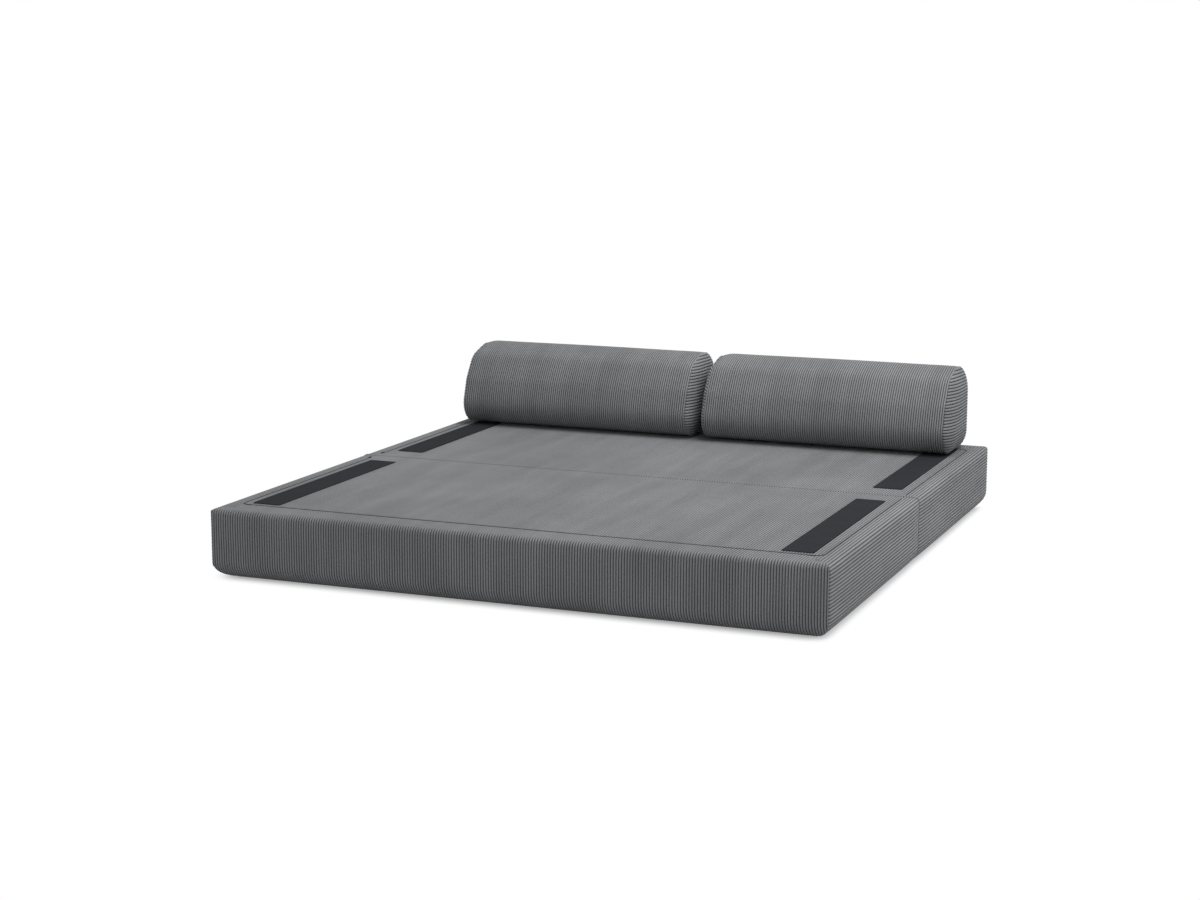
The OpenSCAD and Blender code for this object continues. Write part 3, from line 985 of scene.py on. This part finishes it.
def fold_cloth():
    """The strip across the fold: two soft lips with a crease between them."""
    line = np.concatenate([FOLD_HALF, [FOLD_DIP], FOLD_HALF[::-1] * (-1, 1)])
    x, y = np.meshgrid(X_LINES, line[:, 0])
    x = np.clip(x, FOLD_END_INSET - HALF_W, HALF_W - FOLD_END_INSET)
    z = HEIGHT + line[:, 1:] - round_off(HALF_W - np.abs(x), TOP_R)
    points = np.stack([x, y, z], -1)
    outward = np.zeros_like(points)
    outward[..., 2] = 1
    return points, outward, (x + HALF_W) / PITCH_X, np.stack([x, y], -1)


fold_strip = ribbed("fold_hinge_cloth", fold_cloth(), None, 0.0, FOLD_RIB_DEPTH, FOLD_HEM)
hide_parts("fold_hinge_welt")
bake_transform(fold_strip)

# The bolsters: a corduroy tube with its ribs round it, closed by a crowned cap at each end, over a
# foam block with a flat base. The tube has a zip low on its back, at the heel.
TUBE_LOW, TUBE_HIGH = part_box("right_bolster_cover")
CAP_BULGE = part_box("right_bolster_outer_cap")[1].x - TUBE_HIGH.x
TUBE_HALF = (TUBE_HIGH.x - TUBE_LOW.x) / 2
BOLSTER_X = (TUBE_HIGH.x + TUBE_LOW.x) / 2
LEFT_BOLSTER_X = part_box("left_bolster_cover")[0].x + TUBE_HALF
BOLSTER_H = TUBE_HIGH.z - TUBE_LOW.z
BELLY = (0.075, 0.075, 0.075)
CHEST = (0.110, 0.125, 0.0925)
SHOULDER = (0.140, 0.178, 0.088)
CROWN = (0.198, 0.193, 0.092)
HEEL = (0.234, 0.056, 0.056)
HEEL_ZIP_TURN = math.radians(-35)
HEEL_ZIP_HALF = TUBE_HALF - 0.0675
HEEL_SLOT = 0.0032
HEEL_TAPE_DEPTH = 0.003
HEEL_TAPE_HALF = 0.01
HEEL_TAPE_DROP = 0.0003
END_GAP = 0.0003
TUBE_RIBS = 106
TUBE_PITCH = 2 * TUBE_HALF / TUBE_RIBS
CAP_RIBS = 28
CAP_PITCH = BOLSTER_H / CAP_RIBS
CAP_ROUND = 0.08
RIGHT_BULGES = 0.008
CAP_RIB_DEPTH = 0.0036


def bolster_outline(step):
    """A bolster's section as points and ways out, from the zip up the back and round to the zip."""
    order = (HEEL, CROWN, SHOULDER, CHEST, BELLY, HEEL)
    turns = [HEEL_ZIP_TURN]
    for (y0, z0, r0), (y1, z1, r1) in zip(order, order[1:]):
        apart = math.hypot(y1 - y0, z1 - z0)
        turns.append((math.atan2(z1 - z0, y1 - y0) - math.acos((r0 - r1) / apart) + 1e-6) % math.tau)
    turns.append(math.tau + HEEL_ZIP_TURN)
    points, ways = [], []
    for (y, z, r), first, last in zip(order, turns, turns[1:]):
        turn = np.linspace(first, last, max(4, round(r * (last - first) / step)))
        ways.append(np.stack([np.cos(turn), np.sin(turn)], 1))
        points.append((y, z) + r * ways[-1])
    return np.concatenate(points), np.concatenate(ways)


def from_outline(y, z):
    """How far points lie inside the section's outline, and the way out at its nearest point."""
    turn = np.radians(np.arange(0, 360, 0.5))
    ways = np.stack([np.cos(turn), np.sin(turn)], 1)
    arcs = (BELLY, CHEST, SHOULDER, CROWN, HEEL)
    reach = np.max([ways @ (cy, cz) + r for cy, cz, r in arcs], axis=0)
    gaps = reach - np.stack([y, z], -1).reshape(-1, 2) @ ways.T
    nearest = gaps.argmin(1)
    deep = gaps[np.arange(len(gaps)), nearest]
    return np.maximum(deep, 0).reshape(y.shape), ways[nearest].reshape(*y.shape, 2)


def placed(x, y, z, middle):
    """Points of a bolster at its place, with its ends fallen away as its foam's are."""
    fall = fallen_end(x, z, TUBE_HALF, BOLSTER_H)
    return np.stack([x + middle, y + TUBE_LOW.y, z - fall + TUBE_LOW.z], -1)


def bolster_tube(middle):
    """The cover round a bolster, from one edge of its zip to the other."""
    line, ways = bolster_outline(0.004)
    length = walked(line)
    across = rib_lines(-TUBE_HALF, TUBE_PITCH, TUBE_RIBS)
    s, x = np.meshgrid(spaced(length[-1], 0.0105), across, indexing="ij")
    unzipped = np.clip((np.abs(x) - HEEL_ZIP_HALF) / 0.008, 0, 1)
    gap = HEEL_SLOT - (HEEL_SLOT - END_GAP) * unzipped
    s = np.clip(s, gap, length[-1] - gap)
    y, z = (np.interp(s, length, line[:, k]) for k in (0, 1))
    out = np.stack([np.zeros_like(s), *(np.interp(s, length, ways[:, k]) for k in (0, 1))], -1)
    out /= np.linalg.norm(out, axis=-1, keepdims=True)
    lip = np.minimum(s, length[-1] - s) - gap
    dip = 0.0018 * np.exp(-lip / 0.0025) + SEAM_DEPTH * np.exp(-(TUBE_HALF - np.abs(x)) / 0.003)
    x = np.clip(x, END_GAP - TUBE_HALF, TUBE_HALF - END_GAP)
    points = placed(x, y, z, middle) - out * dip[..., None]
    return points, out, (x + TUBE_HALF) / TUBE_PITCH, np.stack([x, s], -1)


def cap_height(deep, most):
    """How far a cap stands out, from how far a point lies inside the section's outline."""
    return most * (1 - (1 - np.minimum(deep / CAP_ROUND, 1)) ** 2) ** 0.55


def bolster_cap(middle, way):
    """A cap that closes a bolster, way 1 at its right end and -1 at its left. Its ribs lie flat."""
    line, _ = bolster_outline(0.0005)
    top, low = line[:, 1].argmax(), len(line) - np.argmax(line[::-1, 1] < 1e-6) - 1
    front = line[top : line[:, 1].argmin() + 1]
    back = np.concatenate([line[low:], line[: top + 1]])
    edges = [0.00015, 0.0004, BOLSTER_H - 0.0004, BOLSTER_H - 0.00015]
    height = np.sort(np.concatenate([rib_lines(0, CAP_PITCH, CAP_RIBS), edges]))
    y_front = np.interp(height, front[::-1, 1], front[::-1, 0])
    y_back = np.interp(height, back[:, 1], back[:, 0])
    share = (1 - np.cos(np.linspace(0, math.pi, 43))) / 2
    y = y_front[:, None] + (y_back - y_front)[:, None] * share
    z = np.repeat(height[:, None], len(share), 1)
    deep, ways = from_outline(y, z)
    most = CAP_BULGE + (RIGHT_BULGES if way > 0 else 0)
    rise = cap_height(deep, most)
    slope = (cap_height(deep + 1e-5, most) - rise) / 1e-5
    out = np.concatenate([np.full_like(deep, way)[..., None], ways * slope[..., None]], -1)
    out /= np.linalg.norm(out, axis=-1, keepdims=True)
    points = placed(way * (TUBE_HALF + END_GAP + rise), y, z, middle)
    points = points - out * (SEAM_DEPTH * np.exp(-deep / 0.0012))[..., None]
    return points, out, z / CAP_PITCH, np.stack([z, y], -1)


def bolster_seams(points):
    """How far points on the right bolster's foam are from its cover's nearest seam."""
    end = np.abs(np.abs(points[:, 0] - BOLSTER_X) - TUBE_HALF)
    base = points[:, 2] - TUBE_LOW.z
    return np.minimum(end, np.where(base < 0.012, 0, 1))


heel_way = np.array([math.cos(HEEL_ZIP_TURN), math.sin(HEEL_ZIP_TURN)])
tape_r = math.sqrt((HEEL[2] - HEEL_TAPE_DEPTH) ** 2 - HEEL_TAPE_HALF**2)
coil_y, coil_z = HEEL[:2] + (tape_r - HEEL_TAPE_DROP + COIL_RISE) * heel_way
bolster_form = None
bolster_form = blown_up("right_bolster_foam", bolster_seams, voxel=0.009, most=0.005, pressure=1.5)
for side, way, middle in (("right", 1, BOLSTER_X), ("left", -1, LEFT_BOLSTER_X)):
    body = f"{side}_bolster"
    if bolster_form and way < 0:
        bolster_form.data.transform(Matrix.Translation((LEFT_BOLSTER_X - BOLSTER_X, 0, 0)))
    tube = bolster_tube(middle)
    sew(f"{body}_tube_cloth", tube, f"{body}_cover", body, bolster_form, draw_in=0.004)
    for place, out in (("outer", way), ("inner", -way)):
        node = f"{body}_{place}_cap"
        cap = bolster_cap(middle, out)
        sew(f"{node}_cloth", cap, node, body, bolster_form, draw_in=0.002, rib_depth=CAP_RIB_DEPTH)
    ends = np.array([-HEEL_ZIP_HALF, HEEL_ZIP_HALF])
    run = guide_line("coil", placed(ends, np.full(2, coil_y), np.full(2, coil_z), middle))
    teeth = made_by(coil_teeth, run, f"{body}_zip_coil", Up=(0.0, *heel_way), **COIL)
    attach(teeth, body)

# The stage: a plain pale floor and a soft light from above, with the camera where the photograph
# was taken from.
FLOOR_REACH = 14.0
FOOT_INSET = 0.08
SHADOW_KEPT = 0.03
SHADOW_GONE = 0.11


def floor_finish():
    """A floor that the camera sees as white, but for the soft shadow at the sofa's foot."""
    foot = (HALF_W - FOOT_INSET, DEPTH - FOOT_INSET, 1.0)
    material, start, place = new_finish("pale_floor")
    seen = start.node("ShaderNodeLightPath", out="Is Camera Ray")
    glossy = start.node("ShaderNodeLightPath", out="Is Glossy Ray")
    mirrored = start.node("ShaderNodeVectorMath", {0: place}, operation="ABSOLUTE")
    past = start.node("ShaderNodeVectorMath", {0: mirrored, 1: foot}, operation="SUBTRACT")
    outside = start.node("ShaderNodeVectorMath", {0: past, 1: (0, 0, 0)}, operation="MAXIMUM")
    away = start.node("ShaderNodeVectorMath", {0: outside}, out="Value", operation="LENGTH")
    far = start.node(
        "ShaderNodeMapRange",
        {"Value": away, "From Min": SHADOW_KEPT, "From Max": SHADOW_GONE},
        out="Result",
        interpolation_type="SMOOTHSTEP",
    )
    own = start.node("ShaderNodeBsdfDiffuse", {"Color": (*shade(200, 200, 200), 1.0)}, out="BSDF")
    pale = start.node("ShaderNodeBsdfDiffuse", {"Color": (0.95, 0.95, 0.95, 1.0)}, out="BSDF")
    glow = start.node("ShaderNodeEmission", {"Color": (1, 1, 1, 1), "Strength": 0.37}, out="Emission")
    near = start.node("ShaderNodeAddShader", {0: pale, 1: glow})
    white = start.node("ShaderNodeEmission", {"Color": (1, 1, 1, 1), "Strength": 1.0}, out="Emission")
    bright = start.node("ShaderNodeMixShader", {0: far, 1: near, 2: white})
    direct = start.maths("MAXIMUM", seen, glossy)
    look = start.node("ShaderNodeMixShader", {0: direct, 1: own, 2: bright})
    start.node("ShaderNodeOutputMaterial", {"Surface": look})
    return material


corners = [(x * FLOOR_REACH, y * FLOOR_REACH, 0) for x, y in ((-1, -1), (1, -1), (1, 1), (-1, 1))]
floor_mesh = bpy.data.meshes.new("floor")
floor_mesh.from_pydata(corners, [], [(0, 1, 2, 3)])
floor_mesh.materials.append(floor_finish())
add_object("floor", floor_mesh)

world = bpy.data.worlds.new("soft_room")
bpy.context.scene.world = world
world.use_nodes = True
world.node_tree.nodes.clear()
sky = Wire(world.node_tree)
soft, white = (
    sky.node("ShaderNodeBackground", {"Color": (1, 1, 1, 1), "Strength": strength}, out="Background")
    for strength in (0.425, 1.0)
)
seen = sky.node("ShaderNodeLightPath", out="Is Camera Ray")
room = sky.node("ShaderNodeMixShader", {0: seen, 1: soft, 2: white})
sky.node("ShaderNodeOutputWorld", {"Surface": room})

LAMP_PLACE = Vector((1.65, 0.25, 4.0))
LAMP_AIM = Vector((0, 0, 0.2))
light = bpy.data.lights.new("overhead", "AREA")
light.shape = "DISK"
light.size = 3.2
light.energy = 113.0
lamp = add_object("overhead", light)
lamp.location = LAMP_PLACE
lamp.rotation_euler = (LAMP_AIM - LAMP_PLACE).to_track_quat("-Z", "Y").to_euler()

CAMERA_PLACE = Vector((2.5249, -6.4416, 1.5551))
CAMERA_WAY = Vector((-0.37116, 0.91250, -0.17989))
CAMERA_ROLL = 0.00141
lens = bpy.data.cameras.new("camera")
lens.sensor_width = 36.0
lens.lens = 66.391
camera = add_object("camera", lens)
turned = CAMERA_WAY.to_track_quat("-Z", "Y").to_matrix() @ Matrix.Rotation(CAMERA_ROLL, 3, "Z")
camera.matrix_world = Matrix.Translation(CAMERA_PLACE) @ turned.to_4x4()
bpy.context.scene.camera = camera
bpy.context.scene.view_settings.view_transform = "Standard"

for form in (slab_form, bolster_form):
    if form:
        bpy.data.objects.remove(form)
